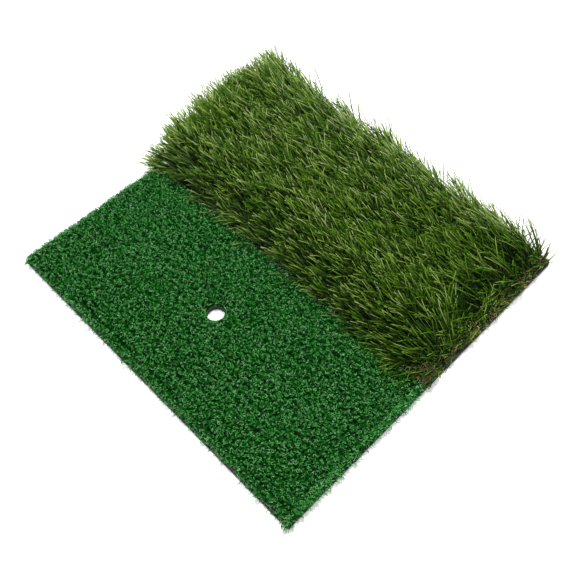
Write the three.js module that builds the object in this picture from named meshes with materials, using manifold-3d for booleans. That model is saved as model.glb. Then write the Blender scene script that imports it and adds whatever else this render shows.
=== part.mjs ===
// Golf hitting mat: a square foam base with two strips of turf glued on it, a short curly
// fairway strip with a tee hole, and a long leaning rough strip.
//
// Millimetres, +Z up. The origin is the centre of the base's underside. +X runs along both
// strips and +Y runs from the fairway strip to the rough strip.

import * as THREE from 'three';
import { mergeVertices } from 'three/addons/utils/BufferGeometryUtils.js';
import Module from 'manifold-3d';

const wasm = await Module();
wasm.setup();

// ---------------------------------------------------------------- driving dimensions

const INCH = 25.4;

const MAT_LENGTH = 16 * INCH; // along X
const MAT_WIDTH = 16 * INCH; // along Y
const CORNER_RADIUS = 1.5;

// The stack, from the floor up. Every level is a whole number of half millimetres.
const BASE_THICKNESS = 6;
const GLUE_THICKNESS = 0.5;
const LATEX_THICKNESS = 1;
const BACKING_THICKNESS = 0.5;

const SEAM_Y = -12; // where the two turfs' backings meet
const SEAM_GAP = 0.5;
const BACKING_INSET = 0.5; // the turfs are trimmed this far inside the base's edge

// Fairway: short curly pile in stitch rows along X.
const FAIRWAY_GAUGE = (5 / 16) * INCH;
const FAIRWAY_ROWS = 23;
const FAIRWAY_FIRST_Y = -196.5;
const FAIRWAY_PILE = 11;
const FAIRWAY_INSET = 1.5; // from the base's edge to the end of a row
const CROWN_SHARE = 0.25; // of the pile's height, over which a row's shoulders round off
const SHOULDER_OUT = 0.62; // where the shoulder turns, as a share of the row's half width
const SHOULDER_DOWN = 0.2; // and how far it is below the top there, as a share of the crown

// Tee hole, centred on a stitch row of the fairway.
const TEE_HOLE_RADIUS = 10;
const TEE_HOLE_ROW = 12;
const TEE_HOLE_X = -6;
const TEE_HOLE_Y = FAIRWAY_FIRST_Y + TEE_HOLE_ROW * FAIRWAY_GAUGE;
const TEE_HOLE_SIDES = 48;

// Rough: long blades in stitch rows along X, which stand up through the thatch and lean to -X.
const ROUGH_GAUGE = (3 / 8) * INCH;
const ROUGH_ROWS = 22;
const ROUGH_FIRST_Y = -6.5;
const ROUGH_PILE = 31;
const ROUGH_INSET = 3;
const ROUGH_LEAN = 44; // how far the tips stand past the roots, towards -X
const LEAN_POWER = 1.4; // blades rise steeply from the roots, then lay over
const SEAM_SPLAY = 7; // how far the row at the seam falls over the fairway
const SEAM_SPLAY_ROWS = 3;
const FAR_SPLAY = 4; // how far the last row hangs past the far edge
const FAR_SPLAY_ROWS = 2;
const SPLAY_POWER = 1.5; // how fast the splay at the seam dies away from row to row

// Thatch: a curled layer that the rough rows stand up through.
const THATCH_HEIGHT = 9;
const ROOT_HALF_WIDTH = 1.6; // of a rough row where it passes through the thatch
const FLARE_HEIGHT = 2; // above the thatch, over which a rough row widens from its root
const THATCH_SPINE = 2; // the thatch beyond the rows' ends, at +X

// A rough row's outline near its tips: depths below the tips, and shares of its half width.
const TAPER_DEPTH = 11;
const SHOULDER_DEPTH = 4;
const SHOULDER_WIDTH = 0.8;
const TIP_WIDTH = 0.3;

const ROW_GAP = 0.3; // between neighbouring rows, and around each piece that another is cut by

// ---------------------------------------------------------------- levels

const BASE_TOP = BASE_THICKNESS;
const GLUE_TOP = BASE_TOP + GLUE_THICKNESS;
const LATEX_TOP = GLUE_TOP + LATEX_THICKNESS;
const BACKING_TOP = LATEX_TOP + BACKING_THICKNESS;
const THATCH_TOP = BACKING_TOP + THATCH_HEIGHT;

const HALF_LENGTH = MAT_LENGTH / 2;
const HALF_WIDTH = MAT_WIDTH / 2;

// ---------------------------------------------------------------- materials

const finish = (color, roughness) => new THREE.MeshStandardMaterial({ color, roughness, metalness: 0 });

const baseFoam = () => finish(0x1c1c1d, 0.9);
const glue = () => finish(0xcfc8ae, 0.5);
const latex = () => finish(0x3a3a38, 0.7);
const wovenBacking = () => finish(0x242626, 0.8);
const fairwayYarn = (shade) => finish(new THREE.Color(0x2b5c2a).multiplyScalar(shade), 0.7);
const roughYarn = (shade) => finish(new THREE.Color(0x43601f).multiplyScalar(shade), 0.6);
const thatchYarn = () => finish(0x6b6336, 0.8);

// How bright some rows are beside the rest, so that neighbouring pieces can be told apart.
const PARTED_SHADE = 0.92;
const ALTERNATE_SHADE = 0.9;

// ---------------------------------------------------------------- helpers

const mat = new THREE.Group();

function addPiece(name, geometry, material) {
  const mesh = new THREE.Mesh(geometry, material);
  mesh.name = name;
  mat.add(mesh);
  return mesh;
}

// A geometry as a manifold-3d solid, with only its positions left and shared corners merged.
function toSolid(geometry) {
  const bare = geometry.clone();
  bare.deleteAttribute('normal');
  bare.deleteAttribute('uv');
  const merged = mergeVertices(bare, 1e-4);
  return new wasm.Manifold(new wasm.Mesh({
    numProp: 3,
    vertProperties: new Float32Array(merged.attributes.position.array),
    triVerts: new Uint32Array(merged.index.array),
  }));
}

function toGeometry(solid) {
  const { vertProperties, triVerts } = solid.getMesh();
  const geometry = new THREE.BufferGeometry();
  geometry.setAttribute('position', new THREE.BufferAttribute(vertProperties, 3));
  geometry.setIndex(new THREE.BufferAttribute(triVerts, 1));
  geometry.computeVertexNormals();
  return geometry;
}

const cut = (geometry, tool) => toGeometry(toSolid(geometry).subtract(toSolid(tool)));

// A flat slab from a shape in the XY plane.
function slab(shape, bottom, thickness, curveSegments = 6) {
  const geometry = new THREE.ExtrudeGeometry(shape, {
    depth: thickness,
    bevelEnabled: false,
    curveSegments,
  });
  return geometry.translate(0, 0, bottom);
}

function roundedRectangle(x0, y0, x1, y1, r) {
  const shape = new THREE.Shape();
  shape.moveTo(x0 + r, y0);
  shape.lineTo(x1 - r, y0);
  shape.absarc(x1 - r, y0 + r, r, -Math.PI / 2, 0);
  shape.lineTo(x1, y1 - r);
  shape.absarc(x1 - r, y1 - r, r, 0, Math.PI / 2);
  shape.lineTo(x0 + r, y1);
  shape.absarc(x0 + r, y1 - r, r, Math.PI / 2, Math.PI);
  shape.lineTo(x0, y0 + r);
  shape.absarc(x0 + r, y0 + r, r, Math.PI, 1.5 * Math.PI);
  return shape;
}

const rectangle = (x0, y0, x1, y1) => new THREE.Shape([
  new THREE.Vector2(x0, y0),
  new THREE.Vector2(x1, y0),
  new THREE.Vector2(x1, y1),
  new THREE.Vector2(x0, y1),
]);

// The punch that makes the tee hole. It runs past both faces of whatever it cuts.
function teePunch() {
  const height = 4 * BACKING_TOP;
  const punch = new THREE.CylinderGeometry(TEE_HOLE_RADIUS, TEE_HOLE_RADIUS, height, TEE_HOLE_SIDES);
  return punch.rotateX(Math.PI / 2).translate(TEE_HOLE_X, TEE_HOLE_Y, 0);
}

// A stitch row: its cross-section, given as [y, z] points, carried along X from x0 to x1.
function row(section, x0, x1) {
  const shape = new THREE.Shape(section.map(([y, z]) => new THREE.Vector2(y, z)));
  const geometry = new THREE.ExtrudeGeometry(shape, { depth: x1 - x0, bevelEnabled: false });
  // The extrusion's x, y and z become the row's y, z and x.
  const turn = new THREE.Matrix4().set(0, 0, 1, x0, 1, 0, 0, 0, 0, 1, 0, 0, 0, 0, 0, 1);
  return geometry.applyMatrix4(turn);
}

const number = (i) => String(i + 1).padStart(2, '0');

// ---------------------------------------------------------------- base pad

const baseShape = roundedRectangle(-HALF_LENGTH, -HALF_WIDTH, HALF_LENGTH, HALF_WIDTH, CORNER_RADIUS);
addPiece('base_pad', cut(slab(baseShape, 0, BASE_THICKNESS), teePunch()), baseFoam());

// ---------------------------------------------------------------- the turfs' bonded layers

const layers = [
  ['glue_film', BASE_TOP, GLUE_THICKNESS, glue],
  ['latex_coat', GLUE_TOP, LATEX_THICKNESS, latex],
  ['woven_backing', LATEX_TOP, BACKING_THICKNESS, wovenBacking],
];
const turfX = HALF_LENGTH - BACKING_INSET;
const turfY = HALF_WIDTH - BACKING_INSET;

for (const [layer, bottom, thickness, material] of layers) {
  const fairway = rectangle(-turfX, -turfY, turfX, SEAM_Y - SEAM_GAP / 2);
  const rough = rectangle(-turfX, SEAM_Y + SEAM_GAP / 2, turfX, turfY);
  addPiece(`fairway_${layer}`, cut(slab(fairway, bottom, thickness), teePunch()), material());
  addPiece(`rough_${layer}`, slab(rough, bottom, thickness), material());
}

// ---------------------------------------------------------------- fairway pile

// A low crowned ridge, half a gauge wide each side less half the gap.
const ridgeHalf = (FAIRWAY_GAUGE - ROW_GAP) / 2;
const crown = FAIRWAY_PILE * CROWN_SHARE;
const fairwayTop = BACKING_TOP + FAIRWAY_PILE;

const ridgeSection = (y) => [
  [y - ridgeHalf, BACKING_TOP],
  [y + ridgeHalf, BACKING_TOP],
  [y + ridgeHalf, fairwayTop - crown],
  [y + ridgeHalf * SHOULDER_OUT, fairwayTop - crown * SHOULDER_DOWN],
  [y, fairwayTop],
  [y - ridgeHalf * SHOULDER_OUT, fairwayTop - crown * SHOULDER_DOWN],
  [y - ridgeHalf, fairwayTop - crown],
];

for (let i = 0; i < FAIRWAY_ROWS; i += 1) {
  const y = FAIRWAY_FIRST_Y + i * FAIRWAY_GAUGE;
  const end = HALF_LENGTH - FAIRWAY_INSET;
  const nearest = Math.max(Math.abs(y - TEE_HOLE_Y) - ridgeHalf, 0);
  const crossesHole = nearest < TEE_HOLE_RADIUS;
  if (!crossesHole) {
    addPiece(`fairway_row_${number(i)}`, row(ridgeSection(y), -end, end), fairwayYarn(1));
    continue;
  }
  // The hole is punched after tufting, so it parts this row's yarn in two.
  const halfChord = Math.sqrt(TEE_HOLE_RADIUS ** 2 - nearest ** 2) + ROW_GAP;
  const left = row(ridgeSection(y), -end, TEE_HOLE_X - halfChord);
  const right = row(ridgeSection(y), TEE_HOLE_X + halfChord, end);
  addPiece(`fairway_row_${number(i)}_left`, left, fairwayYarn(PARTED_SHADE));
  addPiece(`fairway_row_${number(i)}_right`, right, fairwayYarn(PARTED_SHADE));
}

// ---------------------------------------------------------------- rough pile

const roughTop = BACKING_TOP + ROUGH_PILE;
const hedgeHalf = (ROUGH_GAUGE - ROW_GAP) / 2;
const rowY = (i) => ROUGH_FIRST_Y + i * ROUGH_GAUGE;

// A hedge on a narrow root: it widens just above the thatch and draws in again at the tips.
const hedgeSection = [
  [ROOT_HALF_WIDTH, BACKING_TOP],
  [ROOT_HALF_WIDTH, THATCH_TOP],
  [hedgeHalf, THATCH_TOP + FLARE_HEIGHT],
  [hedgeHalf, roughTop - TAPER_DEPTH],
  [hedgeHalf * SHOULDER_WIDTH, roughTop - SHOULDER_DEPTH],
  [hedgeHalf * TIP_WIDTH, roughTop],
];
const bothSides = (half) => [...half, ...half.map(([y, z]) => [-y, z]).reverse()];

// How far a row's tips fall sideways, along Y: the rows at the seam over the fairway, the
// last rows past the far edge, and those between them not at all.
function splay(i) {
  const toSeam = Math.max(1 - i / SEAM_SPLAY_ROWS, 0);
  const toFar = Math.max(1 - (ROUGH_ROWS - 1 - i) / FAR_SPLAY_ROWS, 0);
  return FAR_SPLAY * toFar - SEAM_SPLAY * toSeam ** SPLAY_POWER;
}

// Leans a row, each level as a whole: along X by a power of its height above the backing,
// and along Y by the same power of its height above the thatch.
function lean(geometry, alongX, alongY) {
  const at = geometry.attributes.position;
  for (let v = 0; v < at.count; v += 1) {
    const height = (at.getZ(v) - BACKING_TOP) / ROUGH_PILE;
    const aboveThatch = Math.max((at.getZ(v) - THATCH_TOP) / (roughTop - THATCH_TOP), 0);
    at.setX(v, at.getX(v) + alongX * height ** LEAN_POWER);
    at.setY(v, at.getY(v) + alongY * aboveThatch ** LEAN_POWER);
  }
  geometry.computeVertexNormals();
  return geometry;
}

for (let i = 0; i < ROUGH_ROWS; i += 1) {
  const section = bothSides(hedgeSection).map(([y, z]) => [y + rowY(i), z]);
  const end = HALF_LENGTH - ROUGH_INSET;
  const hedge = lean(row(section, -end, end), -ROUGH_LEAN, splay(i));
  addPiece(`rough_row_${number(i)}`, hedge, roughYarn(i % 2 ? ALTERNATE_SHADE : 1));
}

// ---------------------------------------------------------------- thatch

// One curled layer, parted by a channel for each rough row. The channels are open at -X,
// where the rows lean out of them, and a narrow spine joins the strips at +X.
const thatchEnd = HALF_LENGTH - ROUGH_INSET + ROW_GAP;
const channelHalf = ROOT_HALF_WIDTH + ROW_GAP;
const thatchComb = new THREE.Shape();
const firstEdge = rowY(0) - ROUGH_GAUGE / 2;
const lastEdge = rowY(ROUGH_ROWS - 1) + ROUGH_GAUGE / 2;

thatchComb.moveTo(-thatchEnd, firstEdge);
thatchComb.lineTo(thatchEnd + THATCH_SPINE, firstEdge);
thatchComb.lineTo(thatchEnd + THATCH_SPINE, lastEdge);
thatchComb.lineTo(-thatchEnd, lastEdge);
for (let i = ROUGH_ROWS - 1; i >= 0; i -= 1) {
  thatchComb.lineTo(-thatchEnd, rowY(i) + channelHalf);
  thatchComb.lineTo(thatchEnd, rowY(i) + channelHalf);
  thatchComb.lineTo(thatchEnd, rowY(i) - channelHalf);
  thatchComb.lineTo(-thatchEnd, rowY(i) - channelHalf);
}
addPiece('rough_thatch', slab(thatchComb, BACKING_TOP, THATCH_HEIGHT), thatchYarn());

export default mat;
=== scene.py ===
# %% [markdown]
# # A golf hitting mat, one stitch row at a time
# The mat is a square of black foam with two strips of turf glued on it. The fairway strip is a
# short, dense pile of curly yarn with a round tee hole through it. The rough strip is a long
# pile of flat blades that lean over, with a curled brown thatch at their roots.
#
# This lesson makes the pile as real yarn: every curl, blade and thatch fibre is a closed tape of
# its own, worked out with numpy for a whole stitch row at once.

# %% Load the frame
import math

import bpy
import numpy as np
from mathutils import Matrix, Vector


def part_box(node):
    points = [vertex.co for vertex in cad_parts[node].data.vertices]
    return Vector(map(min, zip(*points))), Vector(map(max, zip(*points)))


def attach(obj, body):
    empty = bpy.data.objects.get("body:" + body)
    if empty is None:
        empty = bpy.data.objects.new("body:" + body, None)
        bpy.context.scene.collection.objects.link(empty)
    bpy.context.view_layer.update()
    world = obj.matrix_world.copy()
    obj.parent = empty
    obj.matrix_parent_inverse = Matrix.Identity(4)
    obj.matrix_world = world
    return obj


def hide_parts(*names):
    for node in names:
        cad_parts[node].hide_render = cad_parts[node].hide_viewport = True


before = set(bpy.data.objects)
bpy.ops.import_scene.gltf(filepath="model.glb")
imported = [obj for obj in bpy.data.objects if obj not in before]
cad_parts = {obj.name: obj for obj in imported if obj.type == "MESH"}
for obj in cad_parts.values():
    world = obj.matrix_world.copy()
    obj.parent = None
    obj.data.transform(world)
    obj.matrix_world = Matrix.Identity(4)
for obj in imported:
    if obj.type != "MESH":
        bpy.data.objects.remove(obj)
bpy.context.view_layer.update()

# %% [markdown]
# ## Sizes
# Everything is placed from the frame's own solids, so the piles stand where the design says.
# Stitch rows that don't lean sideways give the rough's gauge and its first root line.

# %% Sizes from the frame
MM = 0.001

base_low, base_high = (np.array(c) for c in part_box("base_pad"))
mat_side = base_high[0] - base_low[0]
backing_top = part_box("rough_woven_backing")[1][2]

fairway_rows = sorted(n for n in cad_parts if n.startswith("fairway_row_"))
rough_rows = sorted(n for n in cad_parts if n.startswith("rough_row_"))


def mid(node, axis):
    """The middle of a solid along one axis: the mean of its lowest and highest corner."""
    low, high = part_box(node)
    return (low[axis] + high[axis]) / 2


fairway_gauge = mid("fairway_row_02", 1) - mid("fairway_row_01", 1)
NEAR_ROW, FAR_ROW = 4, 20  # two rough rows that lean only along their own length
near_y, far_y = (mid(f"rough_row_{number:02}", 1) for number in (NEAR_ROW, FAR_ROW))
rough_gauge = (far_y - near_y) / (FAR_ROW - NEAR_ROW)
rough_first_y = near_y - (NEAR_ROW - 1) * rough_gauge
rough_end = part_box("rough_row_04")[1][0]

# The tee hole lies between the two ends of the row that it parts most.
tee_x = (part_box("fairway_row_13_left")[1][0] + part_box("fairway_row_13_right")[0][0]) / 2
tee_y = mid("fairway_row_13_left", 1)
TEE_RADIUS = 10 * MM
print("mat", round(mat_side / MM), "mm across")
print("pieces of row:", len(fairway_rows), "fairway,", len(rough_rows), "rough")

# %% [markdown]
# ## Camera
# The mat is seen from above one corner. The view is given as a bearing round the mat, a height
# above the horizon and a distance in mat sides, which is how one would walk round the real one.

# %% Camera
VIEW_BEARING = 45.3  # degrees round from the fairway's front edge
VIEW_HEIGHT = 57.8  # degrees above the horizon
VIEW_ROLL = -0.23  # degrees
VIEW_DISTANCE = 1.967  # mat sides
VIEW_AIM = (0.051, -0.053)  # mat sides from the mat's centre
LENS = 46.1

bearing, height, roll = (math.radians(a) for a in (VIEW_BEARING, VIEW_HEIGHT, VIEW_ROLL))
back = np.array([
    math.sin(bearing) * math.cos(height),
    -math.cos(bearing) * math.cos(height),
    math.sin(height),
])
right = np.array([math.cos(bearing), math.sin(bearing), 0.0])
up = np.cross(back, right)
rolled_right = math.cos(roll) * right + math.sin(roll) * up
rolled_up = math.cos(roll) * up - math.sin(roll) * right
aim = np.array([*VIEW_AIM, 0.0]) * mat_side

camera = bpy.data.objects.new("camera", bpy.data.cameras.new("camera"))
camera.data.lens = LENS
pose = np.eye(4)
pose[:3, :3] = np.column_stack([rolled_right, rolled_up, back])
pose[:3, 3] = aim + back * VIEW_DISTANCE * mat_side
camera.matrix_world = pose.T
bpy.context.scene.collection.objects.link(camera)
bpy.context.scene.camera = camera
print("camera at, mm:", np.round(pose[:3, 3] / MM))

# %% [markdown]
# ## Small tools
# One function turns a hex colour to the linear numbers that shaders use, one feeds a node's
# inputs, and one adds a node to a material. Five short ones build on those for what most finishes
# need. The last puts whole arrays into a mesh, hides the frame's solids that the piece stands for
# and hangs it on the root body.


# %% Colours and nodes
def linear(hex_colour):
    """sRGB hex to linear: c / 12.92 up to 0.04045, and ((c + 0.055) / 1.055) ** 2.4 above it."""
    c = np.array([int(hex_colour[i:i + 2], 16) for i in (1, 3, 5)]) / 255
    return (*np.where(c <= 0.04045, c / 12.92, ((c + 0.055) / 1.055) ** 2.4), 1.0)


def feed(tree, node, inputs):
    """Gives each named input of a node its value, or the socket that feeds it."""
    for name, value in inputs.items():
        if isinstance(value, bpy.types.NodeSocket):
            tree.links.new(value, node.inputs[name])
        else:
            node.inputs[name].default_value = value


def add(tree, kind, settings=(), inputs=(), stops=()):
    """Adds a node of one kind: settings are its properties, inputs are values or the sockets
    that feed it, and stops are a ramp's (place, hex colour) pairs."""
    node = tree.nodes.new("ShaderNode" + kind)
    for name, value in dict(settings).items():
        setattr(node, name, value)
    feed(tree, node, dict(inputs))
    if stops:
        elements = node.color_ramp.elements
        while len(elements) < len(stops):
            elements.new(1.0)
        for element, (place, colour) in zip(elements, stops):
            element.position = place
            element.color = linear(colour)
    return node


def noise(tree, place, scale, detail):
    """Noise from 0 to 1 with about `scale` lumps a metre and `detail` finer layers on them."""
    inputs = {"Vector": place, "Scale": scale, "Detail": detail}
    return add(tree, "TexNoise", {}, inputs).outputs["Fac"]


def ramp(tree, factor, *stops):
    """The colour at `factor` along (place, hex colour) stops."""
    return add(tree, "ValToRGB", {}, {"Fac": factor}, stops).outputs["Color"]


def darkened(tree, colour, by, share=1.0):
    """A colour times another one: share * colour * by + (1 - share) * colour."""
    inputs = {"Fac": share, "Color1": colour, "Color2": by}
    return add(tree, "MixRGB", {"blend_type": "MULTIPLY"}, inputs).outputs["Color"]


def bumps(tree, height, strength, distance):
    """The normal that a height from 0 to 1 gives, where at full strength 1 is `distance` high."""
    inputs = {"Height": height, "Strength": strength, "Distance": distance}
    return add(tree, "Bump", {}, inputs).outputs["Normal"]


def attribute(tree, name):
    """One of a piece's own values, as a number from 0 to 1."""
    return add(tree, "Attribute", {"attribute_name": name}).outputs["Fac"]


def material(name):
    """A new material of one Principled shader, as (material, its tree, the shader)."""
    made = bpy.data.materials.new(name)
    made.use_nodes = True
    tree = made.node_tree
    return made, tree, next(n for n in tree.nodes if n.type == "BSDF_PRINCIPLED")


def piece(name, points, faces, finish, nodes, smooth=False, floats=()):
    """A mesh from arrays: points is (n, 3), and faces is a list of index arrays, one for each
    number of corners. floats are named values, one for each point."""
    mesh = bpy.data.meshes.new(name)
    mesh.vertices.add(len(points))
    mesh.vertices.foreach_set("co", np.asarray(points, np.float32).ravel())
    corners = np.concatenate([f.ravel() for f in faces]).astype(np.int32)
    totals = np.concatenate([np.full(len(f), f.shape[1]) for f in faces])
    mesh.loops.add(len(corners))
    mesh.loops.foreach_set("vertex_index", corners)
    mesh.polygons.add(len(totals))
    mesh.polygons.foreach_set("loop_start", np.cumsum(totals) - totals)
    mesh.polygons.foreach_set("use_smooth", np.full(len(totals), smooth))
    mesh.update(calc_edges=True)
    for label, values in dict(floats).items():
        mesh.attributes.new(label, "FLOAT", "POINT").data.foreach_set("value", values)
    mesh.materials.append(finish)
    made = bpy.data.objects.new(name, mesh)
    bpy.context.scene.collection.objects.link(made)
    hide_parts(*nodes)
    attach(made, "root")
    return made


# %% [markdown]
# ## Floor and light
# The mat lies on a white paper sweep. The key lamp hangs almost overhead, and a broad weak fill
# is on the camera's side, so the colour reads evenly and only the gaps in the pile go dark. The
# sweep glows a little, as one lit from below does, which keeps the mat's shadow faint.

# %% Floor, sky and lamps
FLOOR_SPAN = 12.0
FLOOR_DROP = 0.2 * MM  # keeps the floor from flickering through the mat's underside

floor_mesh = bpy.data.meshes.new("floor")
floor_turns = [(-1, -1), (1, -1), (1, 1), (-1, 1)]
floor_corners = [(i * FLOOR_SPAN / 2, j * FLOOR_SPAN / 2, -FLOOR_DROP) for i, j in floor_turns]
floor_mesh.from_pydata(floor_corners, [], [(0, 1, 2, 3)])
floor = bpy.data.objects.new("floor", floor_mesh)
bpy.context.scene.collection.objects.link(floor)
floor_paper, tree, shader = material("white_paper_sweep")
feed(tree, shader, {
    "Base Color": linear("#fafafa"),
    "Roughness": 0.95,
    "Specular IOR Level": 0.1,
    "Emission Color": linear("#ffffff"),
    "Emission Strength": 0.3,
})
floor_mesh.materials.append(floor_paper)

world = bpy.data.worlds.new("studio")
bpy.context.scene.world = world
world.use_nodes = True
sky = world.node_tree.nodes["Background"]
feed(world.node_tree, sky, {"Color": linear("#ffffff"), "Strength": 0.27})

LAMPS = {  # name: (place in metres, size in metres, watts)
    "key": ((-0.3, 0.1, 2.55), 0.5, 80),
    "fill": ((1.4, -1.4, 2.2), 1.6, 12),
}
for name, (place, size, watts) in LAMPS.items():
    lamp = bpy.data.lights.new(name, "AREA")
    lamp.size = size
    lamp.energy = watts
    holder = bpy.data.objects.new(name, lamp)
    holder.location = place
    # A lamp shines along its -Z, so its +Z points away from the mat's middle.
    holder.rotation_euler = holder.location.to_track_quat("Z", "Y").to_euler()
    bpy.context.scene.collection.objects.link(holder)

bpy.context.scene.view_settings.view_transform = "Standard"
print("lamps:", ", ".join(LAMPS))

# %% [markdown]
# ## Foam base
# The base is closed-cell foam, split from a block into a sheet and cut to a square with a knife.
# A slab with one hole is a closed band: a section that starts at the hole's wall, goes out over
# the top, down the outer edge and back underneath, carried once round the hole. That keeps the
# wall of the tee hole truly round and the cut edges softly rounded.


# %% Sheets with and without a hole
EDGE_WAVES = 6


def waver(length, swing, wave, seed):
    """Small random swings along a closed edge: the sum of waves of whole numbers of turns, near
    one turn per `wave` metres, so that the end meets the start."""
    rng = np.random.default_rng(seed)
    s = np.linspace(0, 2 * np.pi, length, endpoint=False)
    even = 4 * mat_side / wave
    counts = rng.integers(even * 0.6, even * 1.6 + 2, EDGE_WAVES)
    phases = rng.uniform(0, 2 * np.pi, EDGE_WAVES)
    return swing * np.sin(np.outer(s, counts) + phases).sum(axis=1) / math.sqrt(EDGE_WAVES)


def square_outline(low, high, radius, step=3 * MM):
    """Points round a rectangle with round corners, anticlockwise: each side is a run of even
    steps and each corner a quarter circle."""
    (x0, y0), (x1, y1) = low, high
    quarter = np.linspace(0, np.pi / 2, 7)
    runs = []
    left, right, near, far = x0 + radius, x1 - radius, y0 + radius, y1 - radius
    centres = [(right, near), (right, far), (left, far), (left, near)]
    for turn, (cx, cy) in enumerate(centres):
        angle = quarter + (turn - 1) * np.pi / 2
        runs.append(np.column_stack([cx + radius * np.cos(angle), cy + radius * np.sin(angle)]))
        nx, ny = centres[(turn + 1) % 4]
        start = runs[-1][-1]
        end_angle = turn * np.pi / 2
        end = np.array([nx + radius * math.cos(end_angle), ny + radius * math.sin(end_angle)])
        steps = max(int(np.hypot(*(end - start)) / step), 2)
        runs.append(start + (end - start) * np.linspace(0, 1, steps + 1)[1:-1, None])
    return np.concatenate(runs)


def holed_slab(outline, bottom, top, round_off):
    """A slab with the tee hole through it. Each station of the closed section is (share of the
    way from the hole to the outline, extra distance outwards, height), and a point is the hole's
    centre plus its bearing times that distance."""
    centre = np.array([tee_x, tee_y])
    arm = outline - centre
    reach = np.hypot(*arm.T)
    bearing_unit = arm / reach[:, None]
    b = round_off
    turn = 0.3 * b  # how far in the middle of a rounded edge lies
    stations = np.array([
        (0, b, bottom), (0, 0, bottom + b), (0, 0, top - b), (0, b, top),
        (0.25, 0, top), (0.7, 0, top),
        (1, -b, top), (1, -turn, top - turn), (1, 0, top - b),
        (1, 0, bottom + b), (1, -turn, bottom + turn), (1, -b, bottom),
        (0.7, 0, bottom), (0.25, 0, bottom),
    ])
    share, extra, level = stations.T
    distance = TEE_RADIUS * (1 - share) + reach[:, None] * share + extra
    flat = centre + bearing_unit[:, None, :] * distance[..., None]
    heights = np.broadcast_to(level[:, None], (len(outline), len(stations), 1))
    points = np.concatenate([flat, heights], axis=2).reshape(-1, 3)
    i, j = np.meshgrid(np.arange(len(outline)), np.arange(len(stations)), indexing="ij")
    i2, j2 = (i + 1) % len(outline), (j + 1) % len(stations)
    width = len(stations)
    quads = np.stack([i * width + j, i * width + j2, i2 * width + j2, i2 * width + j], axis=-1)
    return points, [quads.reshape(-1, 4)]


def plain_slab(outline, bottom, top, round_off):
    """A slab with no hole: four rings of the outline, pulled in by the rounding at the top and
    bottom, with walls between them and one flat face at each end."""
    middle = outline.mean(axis=0)
    inner = outline - (outline - middle) / np.hypot(*(outline - middle).T)[:, None] * round_off
    levels = [(inner, bottom), (outline, bottom + round_off),
              (outline, top - round_off), (inner, top)]
    rings = [np.column_stack([ring, np.full(len(ring), level)]) for ring, level in levels]
    count = len(outline)
    i = np.arange(count)
    after = (i + 1) % count
    wall = np.stack([i, after, count + after, count + i], axis=-1)
    walls = [k * count + wall for k in range(len(levels) - 1)]
    lid = (len(levels) - 1) * count + i
    return np.concatenate(rings), [np.concatenate(walls), lid[None], i[::-1][None]]


# %% [markdown]
# Closed-cell EVA foam, black through and through. Splitting it from the block opens its cells,
# so the cut shows tiny pits about half a millimetre across, and it is quite matt.

# %% Foam finish and base pad
CELL = 0.55 * MM
CORNER = 1.5 * MM
foam, tree, shader = material("split_eva_foam")
place = add(tree, "TexCoord").outputs["Object"]
voronoi = add(tree, "TexVoronoi", {"feature": "F1"}, {"Vector": place, "Scale": 1 / CELL})
cells = voronoi.outputs["Distance"]
cloudy = noise(tree, place, 60.0, 4.0)
tone = ramp(tree, cloudy, (0.3, "#121213"), (0.75, "#232325"))
# Painted shade: the floor of each cell pit is darkened in the colour, as well as bumped.
painted_pit_shade = ramp(tree, cells, (0.0, "#5a5a5a"), (0.6, "#ffffff"))
matt = add(tree, "MapRange", {}, {"Value": cloudy, "To Min": 0.75, "To Max": 0.95})
feed(tree, shader, {
    "Base Color": darkened(tree, tone, painted_pit_shade, 0.8),
    "Roughness": matt.outputs["Result"],
    "Normal": bumps(tree, cells, 0.5, 0.15 * MM),
})

outline = square_outline(base_low[:2], base_high[:2], CORNER)
centre_out = outline / np.hypot(*outline.T)[:, None]
knife_wander = 0.15 * MM + waver(len(outline), 0.12 * MM, 25 * MM, 3)
outline = outline - centre_out * knife_wander[:, None]
points, faces = holed_slab(outline, base_low[2], base_high[2], 0.5 * MM)
base = piece("base_foam", points, faces, foam, ["base_pad"])
print("base foam:", len(points), "points")

# %% [markdown]
# ## Bonded layers
# Under each pile come a film of glue, a coat of latex that locks the stitches, and the woven
# backing that the needles pushed the yarn through. Only their edges and the bare margins show,
# so each is a thin sheet with a slightly uneven edge, as spread glue and trimmed cloth have.

# %% Finishes of the layers
# Contact glue, spread by comb and cured. It is amber, still a little glossy, and left in ropes.
glue, tree, shader = material("cured_contact_glue")
place = add(tree, "TexCoord").outputs["Object"]
ropes = noise(tree, place, 350.0, 3.0)
feed(tree, shader, {
    "Base Color": ramp(tree, ropes, (0.3, "#4a4434"), (0.7, "#6f6850")),
    "Roughness": 0.35,
    "Normal": bumps(tree, ropes, 0.4, 0.2 * MM),
})

# Latex, rolled on wet and dried in an oven. It is dark grey and finely pebbled.
latex, tree, shader = material("latex_back_coat")
place = add(tree, "TexCoord").outputs["Object"]
pebbles = noise(tree, place, 700.0, 2.0)
feed(tree, shader, {
    "Base Color": ramp(tree, pebbles, (0.3, "#161615"), (0.7, "#2b2b29")),
    "Roughness": 0.7,
    "Normal": bumps(tree, pebbles, 0.5, 0.2 * MM),
})

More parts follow.
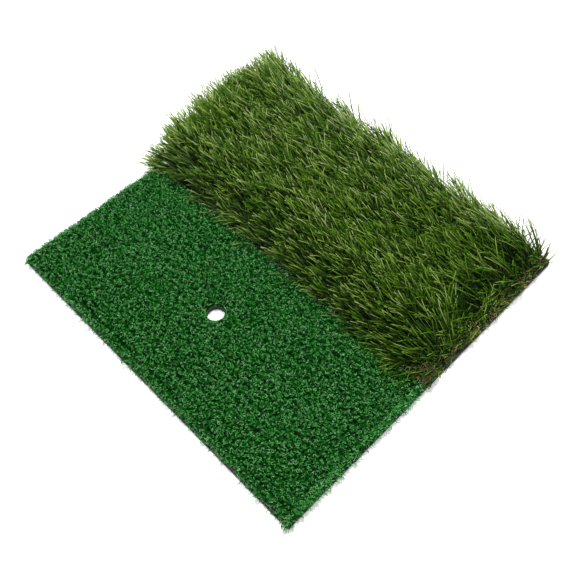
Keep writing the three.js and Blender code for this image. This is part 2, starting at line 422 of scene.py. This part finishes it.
# Woven polypropylene tape, about 1.6 mm wide in warp and weft. It is black with a slight shine,
# and it shows as a fine chequer because neighbouring tapes catch the light in turn.
TAPE_PITCH = 1.6 * MM
woven, tree, shader = material("woven_polypropylene_tape")
place = add(tree, "TexCoord").outputs["Object"]
by_axis = add(tree, "SeparateXYZ", {}, {"Vector": place})
waves = []
for axis in ("X", "Y"):
    inputs = {0: by_axis.outputs[axis], 1: math.pi / TAPE_PITCH}
    turns = add(tree, "Math", {"operation": "MULTIPLY"}, inputs).outputs[0]
    waves.append(add(tree, "Math", {"operation": "SINE"}, {0: turns}).outputs[0])
over_under = add(tree, "Math", {"operation": "MULTIPLY"}, {0: waves[0], 1: waves[1]}).outputs[0]
from_low = {"Value": over_under, "From Min": -1.0, "From Max": 1.0}
lift = add(tree, "MapRange", {}, from_low).outputs["Result"]
# Painted highlight and shade: raised crossings are lightened in the colour, in uneven patches.
shine_noise = noise(tree, place, 900.0, 3.0)
shine = add(tree, "Math", {"operation": "MULTIPLY"}, {0: lift, 1: shine_noise}).outputs[0]
feed(tree, shader, {
    "Base Color": ramp(tree, shine, (0.05, "#0a0b0b"), (0.35, "#1d2020"), (0.6, "#474c4b")),
    "Roughness": 0.45,
    "Normal": bumps(tree, lift, 0.8, 0.3 * MM),
})

# %% Glue films, latex coats and woven backings
LAYERS = {  # node ending: (finish, slot, edge set back, edge's swing)
    "glue_film": (glue, "glue", 1.0 * MM, 0.7 * MM),
    "latex_coat": (latex, "latex", 0.5 * MM, 0.4 * MM),
    "woven_backing": (woven, "woven_backing", 0.0 * MM, 0.3 * MM),
}
for number, (ending, (finish, slot, set_back, swing)) in enumerate(LAYERS.items()):
    for strip in ("fairway", "rough"):
        node = f"{strip}_{ending}"
        low, high = (np.array(c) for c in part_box(node))
        trim = set_back + swing
        outline = square_outline(low[:2] + trim, high[:2] - trim, CORNER)
        inwards = (low[:2] + high[:2]) / 2 - outline
        inwards = inwards / np.abs(inwards).max(axis=1)[:, None]
        outline = outline + inwards * waver(len(outline), swing, 18 * MM, 10 + number)[:, None]
        make = holed_slab if strip == "fairway" else plain_slab
        points, faces = make(outline, low[2], high[2], 0.12 * MM)
        sheet = piece(node + "_sheet", points, faces, finish, [node])
        print(node, np.round((high - low) / MM, 1), "mm")

# %% [markdown]
# ## Yarn
# All three yarns are flat tapes. A tape is a path with a three-cornered section: two edges and a
# low ridge, which is the least that closes and still catches light along one side. The numbers
# for every tape in a stitch row are worked out together, as arrays of (tapes, steps, 3).


# %% Tapes
def unit(v):
    """A vector over its length."""
    return v / np.maximum(np.linalg.norm(v, axis=-1, keepdims=True), 1e-12)


def tapes(path, across, width, ridge):
    """Closed tapes along paths. The section's corners are the path minus and plus half the width
    along `across`, and the path plus the ridge's height along the tape's own upward normal.
    Width and ridge are (tapes, steps)."""
    count, steps, _ = path.shape
    along = unit(np.gradient(path, axis=1))
    across = unit(across - (across * along).sum(axis=-1, keepdims=True) * along)
    normal = np.cross(along, across)
    half = width[..., None] / 2
    ridge_line = path + normal * ridge[..., None]
    corners = np.stack([path - across * half, path + across * half, ridge_line], axis=2)
    k, c = np.meshgrid(np.arange(steps - 1), np.arange(3), indexing="ij")
    c2 = (c + 1) % 3
    sides = np.stack([3 * k + c, 3 * k + c2, 3 * k + 3 + c2, 3 * k + 3 + c], axis=-1).reshape(-1, 4)
    last = 3 * (steps - 1)
    caps = np.array([(0, 2, 1), (last, last + 1, last + 2)])
    first = (np.arange(count) * 3 * steps)[:, None, None]
    faces = [(sides + first).reshape(-1, 4), (caps + first).reshape(-1, 3)]
    return corners.reshape(-1, 3), faces


def joined(*bodies):
    """Several bodies, each (points, faces), as the points and faces of one mesh."""
    firsts = np.cumsum([0] + [len(points) for points, _ in bodies])
    faces = [f + first for (_, body), first in zip(bodies, firsts) for f in body]
    return np.concatenate([points for points, _ in bodies]), faces


def per_point(values, steps):
    """Values for each tape, or for each tape and step, repeated for the section's corners."""
    values = np.asarray(values, float)
    if values.ndim == 1:
        values = np.repeat(values[:, None], steps, axis=1)
    return np.repeat(values[..., None], 3, axis=2).astype(np.float32).ravel()


def rolled(angle, rng):
    """Width directions of curled tapes: the curl's outward direction, turned up about the path by
    a random roll, which is cos(roll) * outward + sin(roll) * up."""
    roll = rng.uniform(-1.3, 1.3, len(angle))[:, None]
    up = np.broadcast_to(np.sin(roll), angle.shape)
    return np.stack([np.cos(angle) * np.cos(roll), np.sin(angle) * np.cos(roll), up], axis=-1)


def drift(size, seed):
    """A soft random field over the mat, mostly within -1 to 1: the sum of ten plane waves with
    random headings, their lengths near `size`. Neighbouring rows share it, so clumps form."""
    rng = np.random.default_rng(seed)
    heading = rng.uniform(0, 2 * np.pi, 10)
    turns = 2 * np.pi / (size * rng.uniform(0.7, 1.6, 10))
    phase = rng.uniform(0, 2 * np.pi, 10)

    def field(x, y):
        ways = x[..., None] * np.cos(heading) + y[..., None] * np.sin(heading)
        return np.sin(ways * turns + phase).sum(axis=-1) / math.sqrt(10)

    return field


# %% [markdown]
# ## Fairway: curly yarn
# The fairway yarn is heat-set while it is crimped, so each tape springs into a small curl when
# it is cut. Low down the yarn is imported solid. Nearer the top each fibre comes free and turns
# round once or a little more in a tilted circle about two millimetres across. The circle's size,
# tilt and sense are different for each, which makes the surface look like tight wool.
#
# Pile spills over every edge of the strip: over the rows' ends, over the front from the first
# row, which is sewn more thickly, and over the seam from the last row.

# %% Curls
CURL_STEPS = 11
FAIRWAY_PER_MM = 1.7  # fibres for each millimetre of a stitch row
FRONT_ROW_MORE = 1.9  # the first row has this many times as many
FAIRWAY_WIDTH = (0.6 * MM, 0.9 * MM)
CURL_RADIUS = (0.7 * MM, 1.25 * MM)
CURL_TURNS = (0.9, 1.5)
CURL_OPEN_BY = 0.35  # share of a fibre's way at which its curl has its full radius
PACKED = 0.62  # share of the pile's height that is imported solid
FREED = 0.3  # share of the height, below that, from which a fibre is drawn

BAR_RING = 10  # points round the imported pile's section
BAR_STEP = 2.2 * MM

WORN_WIDTH = 6 * MM  # the pile is lower in a ring this wide round the tee hole
PACKED_AT_RIM = 0.3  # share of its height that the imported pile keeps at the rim
PILE_AT_RIM = 0.45
RIM_CLEARANCE = 1.2 * MM

# At an outer end of a row, this share of its fibres stands in a band this far from the end.
CLOSE_SEWN = 0.05
CLOSE_BAND = (0.3 * MM, 5 * MM)
OUTER_END = 100 * MM  # an end nearer the middle than this is the tee hole's

# How far fibres spill over each edge, and how much lower a fibre stands for each unit of that.
SPILL_END, SPILL_FRONT, SPILL_SEAM = (0, 7.5 * MM), (1 * MM, 9.5 * MM), (0, 9 * MM)
FRONT_SPILLERS = 0.85  # share of the first row's fibres that spill
DROP_END, DROP_FRONT, DROP_SEAM = 1.3, 0.7, 0.5
DEEPEST_DROP = 7 * MM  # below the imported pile
LOWEST_FIBRE = 5 * MM  # below the backing

STRAW_SHARE = 0.002
fairway_height = drift(35 * MM, 21)
fairway_tone = drift(60 * MM, 22)


def clear_of_hole(points, least):
    """Points moved straight away from the tee hole's axis until they are at least `least` off."""
    from_hole = points[..., :2] - (tee_x, tee_y)
    distance = np.hypot(from_hole[..., 0], from_hole[..., 1])
    push = np.maximum(least / np.maximum(distance, 1e-6), 1)
    moved = points.copy()
    moved[..., :2] = (tee_x, tee_y) + from_hole * push[..., None]
    return moved


def worn(x, y, rim_level):
    """How high the pile stands near the tee hole, as a share: `rim_level` at the rim, and rising
    evenly to one at the worn ring's outer edge."""
    from_rim = np.hypot(x - tee_x, y - tee_y) - TEE_RADIUS
    return rim_level + (1 - rim_level) * np.clip(from_rim / WORN_WIDTH, 0, 1)


def row_box(node):
    """The box of a row's solid, drawn out to the hole's middle if the hole parts the row."""
    low, high = (np.array(c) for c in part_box(node))
    if node.endswith("_left"):
        high[0] = tee_x
    if node.endswith("_right"):
        low[0] = tee_x
    return low, high


def packed_row(node, rng):
    """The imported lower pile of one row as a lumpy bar: a ring of points at each station along the
    row, its half width and height changed by random lumps, and closed at both ends."""
    low, high = row_box(node)
    stations = int((high[0] - low[0]) / BAR_STEP)
    ring = BAR_RING
    angle = np.linspace(0, 2 * np.pi, ring, endpoint=False) + np.pi / ring
    lumps = rng.normal(0, 1, (stations, ring))
    boxy = np.sign(np.cos(angle)) * np.abs(np.cos(angle)) ** 0.5
    x = np.linspace(low[0], high[0], stations)[:, None] + rng.normal(0, 0.5 * MM, (stations, ring))
    y = mid(node, 1) + fairway_gauge * (0.52 * boxy + 0.05 * lumps)
    top = (high[2] - low[2]) * PACKED * worn(x, y, PACKED_AT_RIM)
    arch = np.maximum(np.sin(angle), 0) ** 0.6
    z = low[2] + arch * (top + 0.9 * MM * lumps[::-1])
    x[0], x[-1] = low[0], high[0]
    # The hole's rim crosses the row, so its end is drawn back along the row to the rim.
    rim = np.sqrt(np.maximum((TEE_RADIUS + 0.3 * MM) ** 2 - (y - tee_y) ** 2, 0))
    if node.endswith("_left"):
        x = np.minimum(x, tee_x - rim)
    if node.endswith("_right"):
        x = np.maximum(x, tee_x + rim)
    points = np.stack([x, y, z], axis=-1)
    i, j = np.meshgrid(np.arange(stations - 1) * ring, np.arange(ring), indexing="ij")
    j2 = (j + 1) % ring
    walls = np.stack([i + j, i + j2, i + ring + j2, i + ring + j], axis=-1)
    first_cap = np.arange(ring)[None]
    last_cap = (stations - 1) * ring + np.arange(ring)[::-1][None]
    return points.reshape(-1, 3), [walls.reshape(-1, 4)[:, ::-1], first_cap, last_cap]


def curly_row(node, rng):
    """Paths, width directions, widths and shades of one fairway row's fibres. With s from 0 in
    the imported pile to 1 at the end: the middle moves from the stitch to its own place, the radius
    opens as the smooth step of s, the angle turns evenly, and the height rises as one minus
    (1 - s) squared."""
    low, high = row_box(node)
    height = high[2] - low[2]
    first_row = node == fairway_rows[0]
    more = FRONT_ROW_MORE if first_row else 1
    count = int((high[0] - low[0]) / MM * FAIRWAY_PER_MM * more)
    s = np.linspace(0, 1, CURL_STEPS)[None]
    x = low[0] + (np.arange(count) + rng.random(count)) / count * (high[0] - low[0])
    # The last stitches of a row are sewn closer, and their pile covers the cut end.
    for end in (low[0], high[0]):
        at_end = rng.random(count) < CLOSE_SEWN * (abs(end) > OUTER_END)
        x[at_end] = end - np.sign(end) * rng.uniform(*CLOSE_BAND, at_end.sum())
    y = mid(node, 1) + rng.uniform(-0.5, 0.5, count) * fairway_gauge
    radius = rng.uniform(*CURL_RADIUS, count)[:, None]
    turns = rng.uniform(*CURL_TURNS, count) * rng.choice([-1, 1], count)
    angle = rng.uniform(0, 2 * np.pi, count)[:, None] + 2 * np.pi * turns[:, None] * s
    smooth = np.clip(s / CURL_OPEN_BY, 0, 1)
    open_up = smooth ** 2 * (3 - 2 * smooth)
    # Nothing holds the pile in at the mat's edges, so it spills over them.
    near_end = np.clip((np.abs(x) - base_high[0] + 7 * MM) / (5 * MM), 0, 1)
    over_end = near_end * rng.uniform(*SPILL_END, count)
    over_front = rng.uniform(*SPILL_FRONT, count) * (rng.random(count) < FRONT_SPILLERS)
    over_front *= first_row
    over_seam = rng.uniform(*SPILL_SEAM, count) * (node == fairway_rows[-1])
    drop = DROP_END * over_end + DROP_FRONT * over_front + DROP_SEAM * over_seam
    packed_top = height * (PACKED - FREED) * worn(x, y, PACKED_AT_RIM)
    pile = height * (0.93 + 0.03 * fairway_height(x, y) + rng.normal(0, 0.05, count))
    pile = (pile - drop) * worn(x, y, PILE_AT_RIM)
    free = np.maximum(pile - packed_top, -DEEPEST_DROP)
    rise = packed_top[:, None] + free[:, None] * (1 - (1 - s) ** 2)
    tilt = rng.uniform(0.1, 0.9, count)[:, None]
    lean = rng.uniform(0, 2 * np.pi, count)[:, None]
    along_row = rng.normal(0, 1.2 * MM, count) + np.sign(x) * over_end
    sideways = over_seam - over_front
    curl_height = radius * tilt * open_up * np.sin(angle + lean)
    path = np.stack([
        x[:, None] + along_row[:, None] * s + radius * open_up * np.cos(angle),
        y[:, None] + sideways[:, None] * s ** 0.6 + radius * open_up * np.sin(angle),
        low[2] + np.maximum(rise + curl_height, -LOWEST_FIBRE),
    ], axis=-1)
    # The punch for the tee hole pushes the fibres at its rim back, and some ends spring in again.
    springs_in = np.where(rng.random(count) < 0.12, 6 * MM, 0.8 * MM) * rng.random(count)
    path = clear_of_hole(path, TEE_RADIUS + RIM_CLEARANCE - springs_in[:, None] * s)
    across = rolled(angle, rng)
    width = rng.uniform(*FAIRWAY_WIDTH, count)[:, None] * (1 - 0.35 * s ** 4)
    shade = np.clip(rng.normal(0.56, 0.15, count) + 0.02 * fairway_tone(x, y), 0, 0.96)
    shade[rng.random(count) < STRAW_SHARE] = 1.0
    return path, across, width, shade


# %% [markdown]
# The yarn is polyethylene tape, dyed in the melt in several greens from bottle green to mint, with
# a few straw-coloured fibres. "reach" says how far along a fibre a point is. Painted shade makes
# the yarn nearly black where it is packed, so it shows its full colour only near the ends, and
# it hardly shines.

# %% Fairway finish and rows
fairway_yarn, tree, shader = material("curly_polyethylene_yarn")
shade_factor, painted_shade_reach = (attribute(tree, name) for name in ("shade", "reach"))
greens = ramp(tree, shade_factor, (0.0, "#00540a"), (0.4, "#2c942e"), (0.7, "#72c072"),
              (0.96, "#aedca9"), (1.0, "#aab878"))
# Painted shade: the colour is multiplied darker towards the roots and in the imported pile.
depth = ramp(tree, painted_shade_reach, (0.0, "#002600"), (0.5, "#608a60"), (0.9, "#ffffff"))
feed(tree, shader, {
    "Base Color": darkened(tree, greens, depth),
    "Roughness": 0.55,
    "Specular IOR Level": 0.05,
})

fibres = 0
for number, node in enumerate(fairway_rows):
    rng = np.random.default_rng([1, number])
    path, across, width, shade = curly_row(node, rng)
    bar = packed_row(node, rng)
    points, faces = joined(tapes(path, across, width, width * 0.3), bar)
    reach = np.repeat(np.linspace(0.1, 1, CURL_STEPS)[None], len(path), axis=0)
    # The imported pile gets a low reach, so painted shade makes it dark between the curls.
    bar_shade = rng.uniform(0.2, 0.65, len(bar[0]))
    bar_reach = rng.uniform(0.0, 0.38, len(bar[0]))
    floats = {"shade": np.concatenate([per_point(shade, CURL_STEPS), bar_shade]),
              "reach": np.concatenate([per_point(reach, CURL_STEPS), bar_reach])}
    name = node.replace("row", "curls")
    piece(name, points, faces, fairway_yarn, [node], smooth=True, floats=floats)
    fibres += len(path)
print("fairway fibres:", fibres)

# %% [markdown]
# ## Rough: long blades
# The rough is slit film, much longer and stiffer. Fifteen blades come out of each stitch, rise
# steeply and then lay over, mostly along the row. The direction comes from a soft random field,
# so neighbouring stitches fall together in locks. Rows at the seam have nothing to lean on and
# fall over the fairway, the more so towards the +X end, and the last rows hang past the far edge.
# More blades cover the -X end, shorter ones fray out at the +X edge, and two long strays hang out
# past the rest.

# %% Blades
BLADE_STEPS = 7
STITCH = 9 * MM
BLADES_PER_STITCH = 15
FRONT_BLADES = 44  # added to each row at its -X end
TAIL_BLADES = 64  # and at its +X end
BLADE_LENGTH = 53 * MM
BLADE_WIDTH = (0.95 * MM, 1.45 * MM)
MAIN_BEARING = np.pi - 0.18  # radians round from +X, so most blades lean to -X
LOOSE_SHARE = 0.03  # share of the blades that point much more widely than their lock

# The most that a blade reaches past the +X edge and the +Y edge, and the highest that one stands.
HANG_X, HANG_Y, HIGHEST_TIP = 20 * MM, 17 * MM, 46 * MM
HANG_Y_UNEVEN = 9 * MM
TAIL_HANG_X = 4 * MM  # for the blades that fray out
lock_turn = drift(26 * MM, 31)
lock_lay = drift(30 * MM, 32)
patch_tone = drift(45 * MM, 33)
lobes = drift(20 * MM, 34)

# Row index: the x of a stray's root, its bearing, its slopes at root and tip, and its length.
STRAYS = {
    5: (200 * MM, -1.35, 1.25, 1.75, 56 * MM),
    21: (201 * MM, 1.5, 1.25, 1.7, 27 * MM),
}
STRAY_SWING = 0.1

# What a blade's place adds where its share of that place is one: radians to its bearing and to
# its slopes from the upright at the root and at the tip, and a part to its shade. The shade parts
# are painted light and shade: lighter blades at the outer edges, darker ones at the seam and the
# +X tail.
PLACE_ADDS = {  # place: (bearing, root slope, tip slope, shade)
    "across": (0.55, 0, 0, 0),
    "seam": (0.25, 0.2, 0.2, -0.1),
    "splay": (0.75, 0, 0, 0),
    "far": (-0.3, 0.16, 0.1, 0),
    "front": (0, 0.15, -0.2, 0),
    "corner": (0.5, 0, 0, 0),
    "tail": (0, 0.14, 0.14, -0.2),
    "far_tail": (0, -0.6, -0.3, 0),
    "outer": (0, 0, 0, 0.12),
}


def stitch_roots(number, rng):
    """Where one row's blades come out, the number of the stitch that each belongs to, and the
    share of the full length that each has. The added blades of the front come before the even
    stitches and those of the tail after them."""
    stitches = int(2 * rough_end / STITCH)
    pitch = 2 * rough_end / stitches
    stitch = np.repeat(np.arange(stitches), BLADES_PER_STITCH)
    x = -rough_end + (stitch + 0.5) * pitch + rng.normal(0, 1.2 * MM, len(stitch))
    share = np.clip(rng.normal(1, 0.08, len(stitch)), 0.5, 1.12)
    front_x = -rough_end + rng.exponential(8 * MM, FRONT_BLADES)
    tail_x = rough_end - rng.exponential(9 * MM, TAIL_BLADES)
    x = np.concatenate([front_x, x, tail_x])
    stitch = np.concatenate([rng.integers(0, 2, FRONT_BLADES), stitch,
                             rng.integers(stitches - 3, stitches, TAIL_BLADES)])
    share = np.concatenate([rng.uniform(0.6, 1.05, FRONT_BLADES), share,
                            rng.uniform(0.25, 0.65, TAIL_BLADES)])
    y = rough_first_y + number * rough_gauge + rng.normal(0, 0.9 * MM, len(x))
    return x, y, stitch, share


def places(number, x, y):
    """How much each blade of a row belongs to each place, as shares: one at the place itself, and
    falling evenly to none at the stated distance or number of rows from it."""
    front = np.clip(1 - (x + rough_end) / (30 * MM), 0, 1)
    tail = np.clip(1 - (rough_end - x) / (32 * MM), 0, 1)
    far = max(1 - (len(rough_rows) - 1 - number) / 3, 0)
    depth = y - rough_first_y
    shares = {
        "across": np.clip(depth / (200 * MM), 0, 1),
        "seam": max(1 - number / 4, 0),
        "splay": np.clip(1 - (rough_end - x) / (130 * MM), 0, 1) * max(1 - number / 5, 0),
        "far": far,
        "front": front,
        "corner": front * np.clip(1 - depth / (45 * MM), -0.6, 1),
        "tail": tail,
        "far_tail": tail * np.clip(depth / (50 * MM) - 3, 0, 1),
        "outer": np.maximum(front, far),
    }
    return {name: np.broadcast_to(share, len(x)) for name, share in shares.items()}


def blade_row(number, rng):
    """Paths, width directions, widths, shades and openness of one rough row's blades. A blade's
    slope from the upright grows with s from its first angle to its last, its bearing drifts
    evenly, and its path is the running sum of those directions."""
    x, y, stitch, share = stitch_roots(number, rng)
    count = len(x)
    tuft_turn, tuft_lay, tuft_tone = rng.normal(0, 1, (3, stitch.max() + 1))[:, stitch]
    at = places(number, x, y)
    adds = np.array([PLACE_ADDS[name] for name in at]).T @ np.array(list(at.values()))
    spread = np.where(rng.random(count) < LOOSE_SHARE, 0.7, 0.22 + 0.08 * at["tail"])
    spread *= 1 - 0.5 * at["far"]
    spread[-TAIL_BLADES:] = 0.9
    bearing = MAIN_BEARING + 0.2 * lock_turn(x, y) + 0.13 * tuft_turn + adds[0]
    bearing += rng.normal(0, 1, count) * spread
    swing = rng.normal(0, 0.38, count)
    root_slope = np.abs(rng.normal(0.72, 0.16, count)) + adds[1]
    tip_slope = rng.normal(1.24, 0.13, count) + adds[2]
    tip_slope += 0.09 * lock_lay(x, y) + 0.07 * tuft_lay
    shorter_near_seam = 0.84 + 0.2 * np.clip(at["across"] * 2.2, 0, 1)
    length = BLADE_LENGTH * share * shorter_near_seam * (1 - 0.2 * at["seam"])
    length *= 1 + 0.12 * at["front"] * lobes(x, y)
    if number in STRAYS:
        x[0], bearing[0], root_slope[0], tip_slope[0], length[0] = STRAYS[number]
        y[0], swing[0] = rough_first_y + number * rough_gauge, STRAY_SWING

    s = np.linspace(0, 1, BLADE_STEPS)[None]
    mids = (s[:, 1:] + s[:, :-1]) / 2
    slope_gain = np.clip(tip_slope, 0.4, 1.95) - root_slope
    slope = root_slope[:, None] + slope_gain[:, None] * mids ** 0.8
    turn = bearing[:, None] + swing[:, None] * mids
    step = length[:, None, None] / (BLADE_STEPS - 1)
    moves = np.stack([
        np.sin(slope) * np.cos(turn),
        np.sin(slope) * np.sin(turn),
        np.cos(slope),
    ], axis=-1) * step
    root = np.stack([x, y, np.full(count, backing_top)], axis=-1)[:, None]
    path = np.concatenate([root, root + np.cumsum(moves, axis=1)], axis=1)

    # A blade that would stand or hang out further than the rest is scaled down about its root.
    # The first blade of a row may be a stray, so it keeps the full limit.
    limit = np.tile([base_high[0] + HANG_X, base_high[1] + HANG_Y, HIGHEST_TIP], (count, 1, 1))
    limit[1:, 0, 1] -= rng.uniform(0, HANG_Y_UNEVEN, count - 1)
    limit[-TAIL_BLADES:, 0, 0] = base_high[0] + TAIL_HANG_X
    kept = (limit - root) / np.maximum(path.max(axis=1, keepdims=True) - root, 0.1 * MM)
    path = root + (path - root) * np.clip(kept, 0, 1).min(axis=-1, keepdims=True)
    path[..., 2] = np.maximum(path[..., 2], backing_top)

    side = np.stack([-np.sin(bearing), np.cos(bearing), np.zeros(count)], axis=-1)[:, None]
    face = np.stack([np.cos(bearing), np.sin(bearing), np.full(count, 0.4)], axis=-1)[:, None]
    twist = rng.normal(0, 0.8, count)[:, None] + rng.normal(0, 0.6, count)[:, None] * s
    across = side * np.cos(twist)[..., None] + face * np.sin(twist)[..., None]
    width = rng.uniform(*BLADE_WIDTH, count)[:, None] * (1 - 0.5 * s ** 4)
    width *= (1 - 0.2 * np.maximum(at["tail"], at["seam"]))[:, None]
    # Painted light and shade: the pile is lighter at the -X and +Y edges and darker at the +X edge
    # and the seam.
    shade = rng.beta(0.95, 1.25, count) + adds[3]
    shade = np.clip(shade + 0.1 * patch_tone(x, y) + 0.06 * tuft_tone, 0, 1)
    return path, across, width, shade, np.maximum(at["outer"], at["tail"])


# %% [markdown]
# The blades are slit from polyethylene film in several greens, from olive to a bright leaf green,
# with a few pale ones. Painted shade makes them nearly black-brown at the roots, so they show
# their full colour only towards the tips, and blades in the open get less of it. The film is
# thin, so light scatters a little way through it.

# %% Rough finish and rows
rough_yarn, tree, shader = material("slit_film_blades")
shade_factor, painted_shade_reach = (attribute(tree, name) for name in ("shade", "reach"))
greens = ramp(tree, shade_factor, (0.0, "#0e2e00"), (0.3, "#3a6204"), (0.6, "#648e1c"),
              (0.85, "#94b054"), (1.0, "#aebe82"))
# Painted shade: the colour is multiplied darker towards the roots.
depth = ramp(tree, painted_shade_reach, (0.0, "#141400"), (0.35, "#202c04"), (0.7, "#56662a"),
             (1.0, "#ffffff"))
feed(tree, shader, {
    "Base Color": darkened(tree, greens, depth),
    "Roughness": 0.45,
    "Specular IOR Level": 0.12,
    "Subsurface Weight": 0.3,
    "Subsurface Radius": (1.0, 1.0, 0.4),
    "Subsurface Scale": 0.6 * MM,
})

blades = 0
for number, node in enumerate(rough_rows):
    path, across, width, shade, openness = blade_row(number, np.random.default_rng([2, number]))
    points, faces = tapes(path, across, width, width * 0.25)
    # Blades in the open get a higher reach, so less painted shade at their roots.
    reach = 1 - (1 - np.linspace(0, 1, BLADE_STEPS)) * (1 - 0.6 * openness[:, None])
    floats = {"shade": per_point(shade, BLADE_STEPS), "reach": per_point(reach, BLADE_STEPS)}
    name = node.replace("row", "blades")
    piece(name, points, faces, rough_yarn, [node], smooth=False, floats=floats)
    blades += len(path)
print("rough blades:", blades)

# %% [markdown]
# ## Thatch
# Between the roots lies the thatch: thin crimped fibres in tan, brown and olive that are sewn in
# with the blades and stay curled up low. They show along the seam and at the edge that the
# blades lean away from, so about two in five are put there.

# %% Thatch fibres
THATCH_STEPS = 11
THATCH_FIBRES = 2600
THATCH_WIDTH = (0.6 * MM, 0.95 * MM)
AT_EDGE, AT_SEAM = 0.24, 0.25  # shares of the fibres that are moved to the +X edge and the seam
THATCH_HANG_X = 1.2 * MM
thatch_low, thatch_high = (np.array(c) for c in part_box("rough_thatch"))
bites = drift(24 * MM, 41)


def thatch_fibres(rng):
    """Curls as on the fairway, but wider, lower and more ragged. Where each stands is drawn
    evenly, then a part is moved to the open +X edge and a part to the seam."""
    count = THATCH_FIBRES
    x = rng.uniform(thatch_low[0], thatch_high[0], count)
    row_index = rng.integers(0, len(rough_rows), count)
    to_edge = rng.random(count) < AT_EDGE
    x[to_edge] = thatch_high[0] - rng.exponential(13 * MM, to_edge.sum())
    to_seam = rng.random(count) < AT_SEAM
    row_index[to_seam] = rng.integers(0, 2, to_seam.sum())
    y = rough_first_y + row_index * rough_gauge + rng.normal(0, 2.2 * MM, count)
    # The yarn frays back from the cut edge in bites a few stitches wide.
    bite = (1.5 + 3 * bites(np.zeros(count), y)) * MM
    x = np.minimum(x, thatch_high[0] - bite + rng.normal(0, 1.2 * MM, count))
    s = np.linspace(0, 1, THATCH_STEPS)[None]
    radius = rng.uniform(1.4, 3.4, count)[:, None] * MM
    turns = rng.uniform(0.7, 1.8, count) * rng.choice([-1, 1], count)
    angle = rng.uniform(0, 2 * np.pi, count)[:, None] + 2 * np.pi * turns[:, None] * s
    pile = (thatch_high[2] - thatch_low[2]) * rng.uniform(0.4, 1.35, count)[:, None]
    wander = rng.normal(0, 3 * MM, (count, 2))
    tilt = rng.uniform(0.2, 1.0, count)[:, None]
    rise = pile * s ** 0.8 + radius * tilt * s * np.sin(angle + 1.0)
    path = np.stack([
        x[:, None] + wander[:, :1] * s + radius * s ** 0.7 * np.cos(angle),
        y[:, None] + wander[:, 1:] * s + radius * s ** 0.7 * np.sin(angle),
        backing_top + np.maximum(rise, 0.2 * MM),
    ], axis=-1)
    path[..., 0] = np.minimum(path[..., 0], base_high[0] + THATCH_HANG_X)
    across = rolled(angle, rng)
    width = np.repeat(rng.uniform(*THATCH_WIDTH, count)[:, None], THATCH_STEPS, axis=1)
    # Olive and tan fibres gather in patches along the edge.
    shade = rng.random(count) - 0.1 + 0.25 * bites(np.zeros(count) + 0.3, y)
    return path, across, width, np.clip(shade, 0, 1)


# Texturised polyethylene, crimped while hot, in olive, brown, tan and straw.
thatch_yarn, tree, shader = material("crimped_thatch_yarn")
straw = ramp(tree, attribute(tree, "shade"), (0.0, "#274410"), (0.35, "#3c4414"),
             (0.6, "#766c36"), (0.85, "#ac9862"), (1.0, "#c0ac7c"))
feed(tree, shader, {"Base Color": straw, "Roughness": 0.6})

path, across, width, shade = thatch_fibres(np.random.default_rng(3))
points, faces = tapes(path, across, width, width * 0.35)
floats = {"shade": per_point(shade, THATCH_STEPS)}
piece("thatch_curls", points, faces, thatch_yarn, ["rough_thatch"],
      smooth=True, floats=floats)
print("thatch fibres:", len(path))
